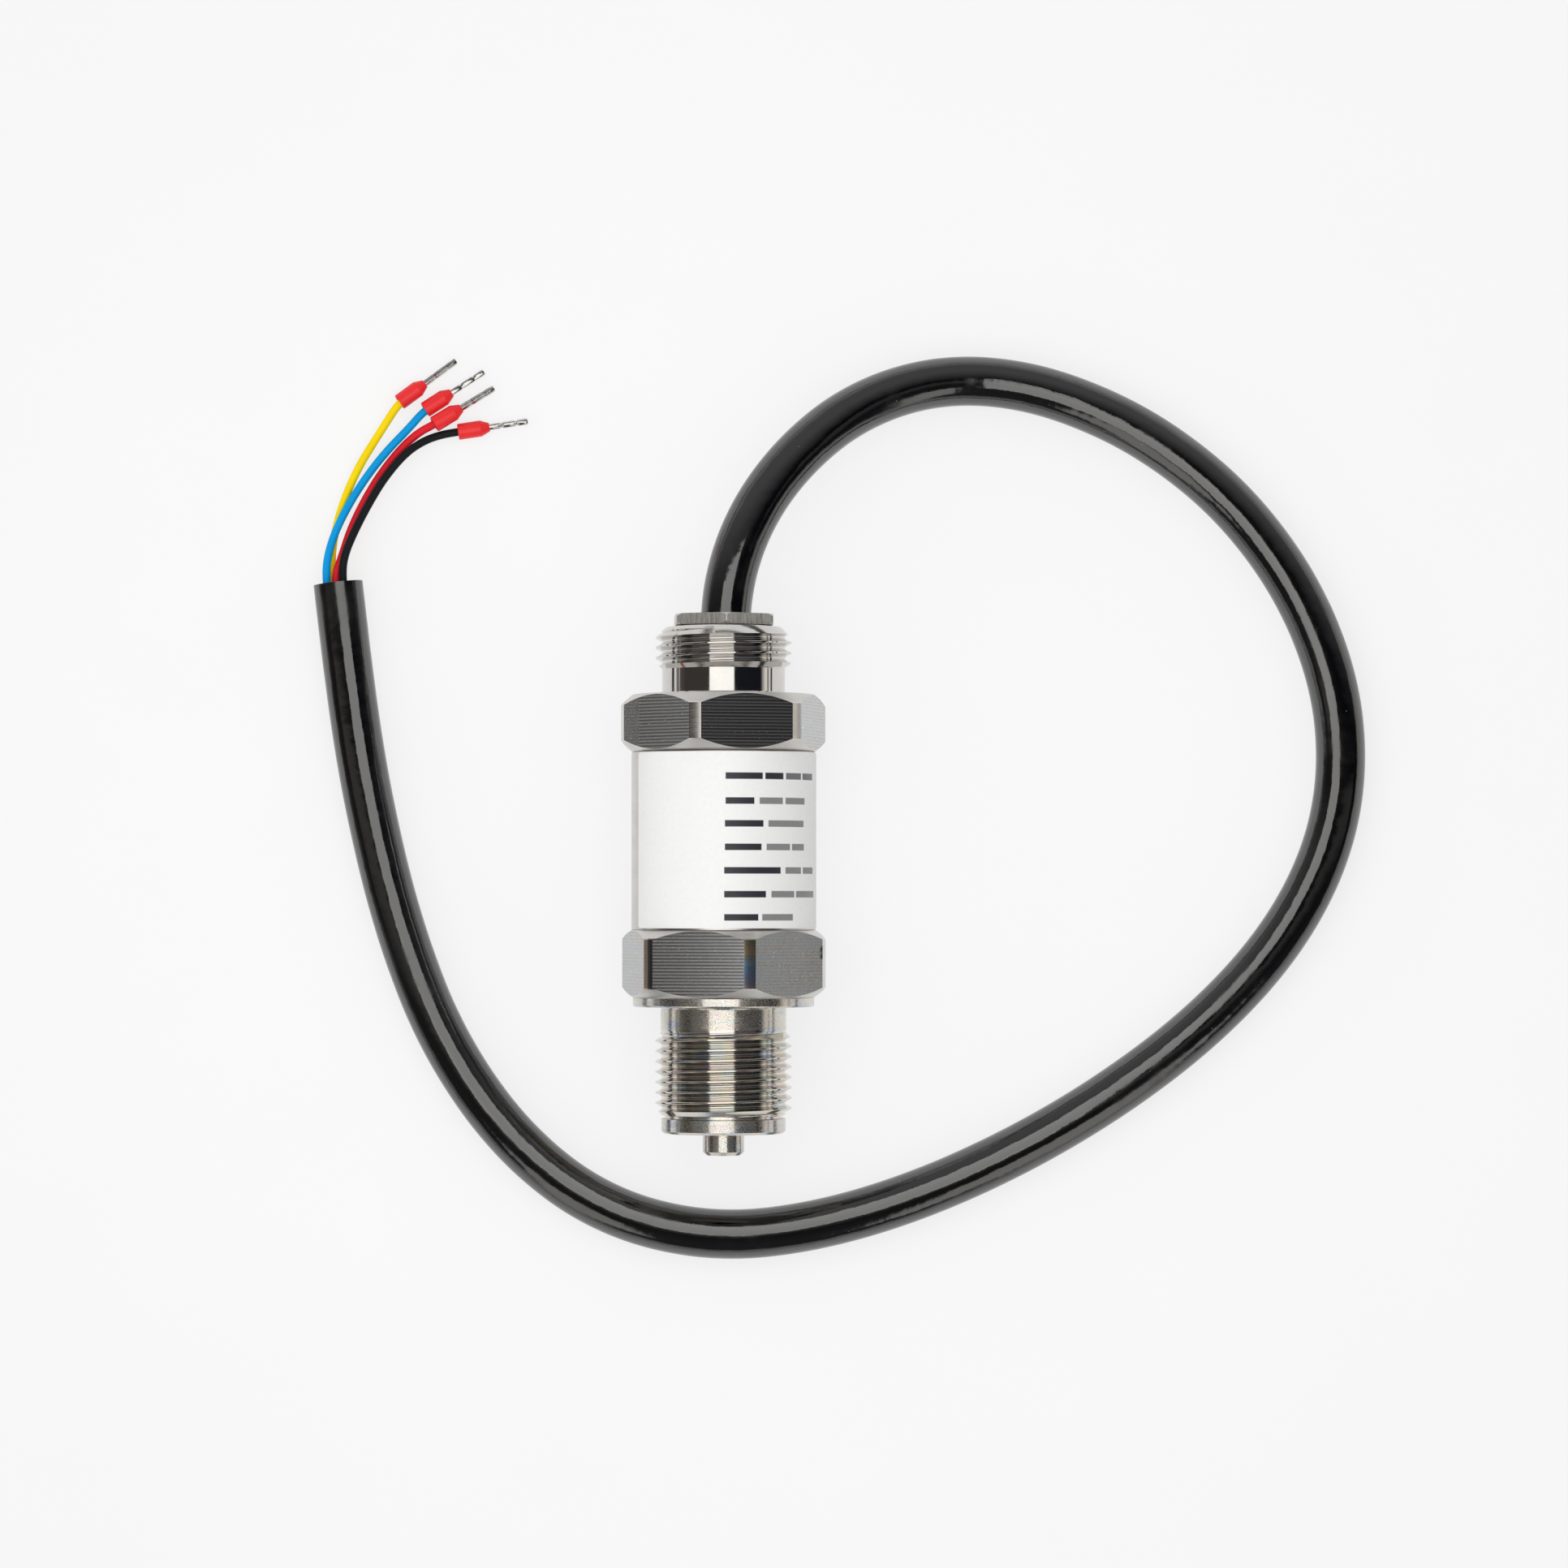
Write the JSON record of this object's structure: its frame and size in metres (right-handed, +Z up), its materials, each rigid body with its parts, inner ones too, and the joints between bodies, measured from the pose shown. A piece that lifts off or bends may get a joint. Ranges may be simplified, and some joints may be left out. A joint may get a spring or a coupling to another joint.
{
  "type": "pressure transmitter",
  "caption": "Stainless pressure transmitter: threaded pressure port with spigot, tube housing between two hexagons, threaded cable cap and a coiled cable with stripped, ferruled cores.",
  "frame": {"origin": "under the middle of the transmitter's rigid body, on the surface that it lies on", "axes": "+Y along the transmitter's axis from the pressure port towards the cable, +Z up, +X to the right seen from above with the cable end away"},
  "size_m": [0.1551, 0.1331, 0.0296],
  "materials": {
    "stainless_steel": "turned and milled stainless steel, fine feed lines",
    "sensor_steel": "fine-turned stainless steel",
    "silicon": "polished silicon",
    "seal_glass": "dark green sealing glass",
    "gold_plated_pin": "gold plated, satin",
    "seal_rubber": "matt black rubber",
    "board_laminate": "green solder resist on glass-fibre laminate",
    "holder_plastic": "moulded black plastic",
    "sleeve_film": "pale amber insulating plastic",
    "chip_black": "black epoxy moulding",
    "chip_ceramic": "tan fired ceramic",
    "wire_insulation_white": "white wire insulation",
    "nickel_plate": "dull nickel plate on brass",
    "label_film": "white film with a satin sheen and dark print bars",
    "jacket_black": "glossy black cable jacket",
    "insulation_yellow": "yellow core insulation",
    "insulation_blue": "blue core insulation",
    "insulation_red": "red core insulation",
    "insulation_black": "black core insulation",
    "collar_red": "red moulded collar",
    "tinned_copper": "tinned copper, crimped"
  },
  "bodies": {
    "root": {"pressure_body": "stainless_steel", "cable_cap": "stainless_steel", "gland_nut": "nickel_plate", "label": "label_film", "cable_jacket": "jacket_black", "core_yellow": "insulation_yellow", "ferrule_collar_yellow": "collar_red", "ferrule_tube_yellow": "tinned_copper", "core_blue": "insulation_blue", "ferrule_collar_blue": "collar_red", "ferrule_tube_blue": "tinned_copper", "core_red": "insulation_red", "ferrule_collar_red": "collar_red", "ferrule_tube_red": "tinned_copper", "core_black": "insulation_black", "ferrule_collar_black": "collar_red", "ferrule_tube_black": "tinned_copper", "sensor_cell": "sensor_steel", "sensor_diaphragm": "sensor_steel", "sensor_chip": "silicon", "pin_glass_seals": "seal_glass", "sensor_pins": "gold_plated_pin", "sensor_o_ring": "seal_rubber", "clamp_ring": "sensor_steel", "compensation_board": "board_laminate", "trim_resistors": "chip_ceramic", "board_holder": "holder_plastic", "signal_board": "board_laminate", "amplifier_chip": "chip_black", "board_capacitors": "chip_ceramic", "protection_diodes": "chip_black", "loop_transistor": "chip_black", "link_wires": "wire_insulation_white", "insulating_sleeve": "sleeve_film", "cap_o_ring": "seal_rubber", "cable_seal_bush": "seal_rubber", "gland_washer": "nickel_plate", "inner_lead_yellow": "insulation_yellow", "inner_lead_blue": "insulation_blue", "inner_lead_red": "insulation_red", "inner_lead_black": "insulation_black"}
  },
  "joints": []
}
